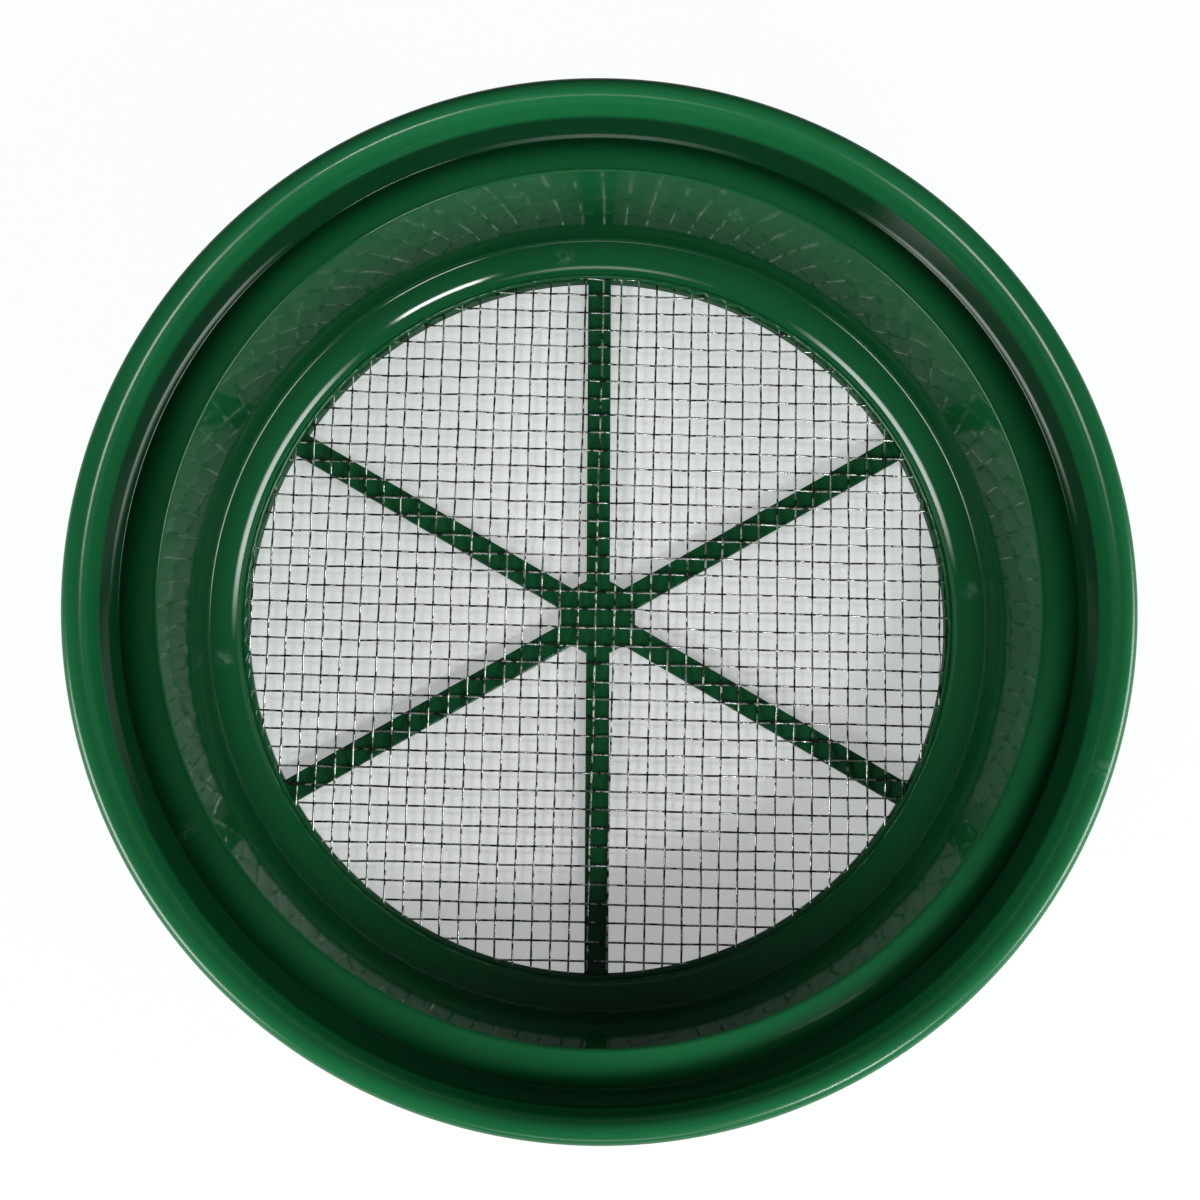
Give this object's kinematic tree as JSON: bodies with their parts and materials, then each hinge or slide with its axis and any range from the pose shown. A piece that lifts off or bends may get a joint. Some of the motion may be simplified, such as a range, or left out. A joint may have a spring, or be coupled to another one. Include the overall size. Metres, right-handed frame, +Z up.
{
  "type": "gold classifier sieve pan",
  "caption": "Round green plastic sifting pan with a stepped wall, a rolled rim and a woven wire screen over a spoked support ring, made to sit in a bucket.",
  "frame": {"origin": "on the surface the pan stands on, in the middle of the pan", "axes": "+Z up, along the pan's axis, from the foot to the rim; one spoke of the support ring points along +Y"},
  "size_m": [0.3366, 0.3366, 0.0826],
  "materials": {
    "green_plastic": "glossy moulded green plastic",
    "steel_wire": "bright drawn stainless wire"
  },
  "bodies": {
    "root": {"pan_shell": "green_plastic", "support_ring": "green_plastic", "screen_warp_wires": "steel_wire", "screen_weft_wires": "steel_wire"}
  },
  "joints": []
}
